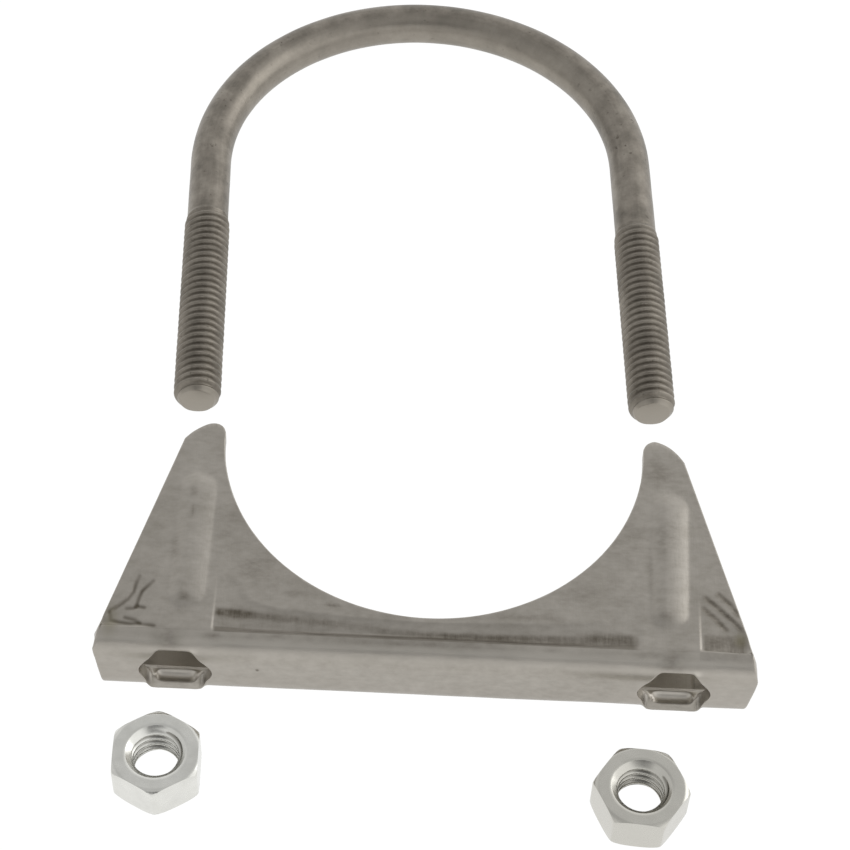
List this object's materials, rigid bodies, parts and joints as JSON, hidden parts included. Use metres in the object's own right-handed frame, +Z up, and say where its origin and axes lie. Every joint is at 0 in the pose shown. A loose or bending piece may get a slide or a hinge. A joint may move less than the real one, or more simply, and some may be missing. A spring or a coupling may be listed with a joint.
{
  "type": "exhaust clamp",
  "caption": "Exhaust pipe clamp laid out in its pieces: a threaded U-bolt, a folded sheet saddle with a round pipe seat, and hexagon nuts.",
  "frame": {"origin": "on the surface that the pieces lie on, below the centre of the whole set", "axes": "+Z up, +Y from the nuts towards the bow of the U-bolt, +X to the right as seen from the nuts"},
  "size_m": [0.0988, 0.1776, 0.0143],
  "materials": {
    "rod_steel": "bare steel rod, satin, grey-brown in the thread",
    "sheet_steel": "bare pressed sheet steel, satin with dark die scuffs",
    "zinc_plate": "bright zinc plating"
  },
  "bodies": {
    "root": {"u_bolt": "rod_steel", "saddle": "sheet_steel", "left_nut": "zinc_plate", "right_nut": "zinc_plate"}
  },
  "joints": []
}
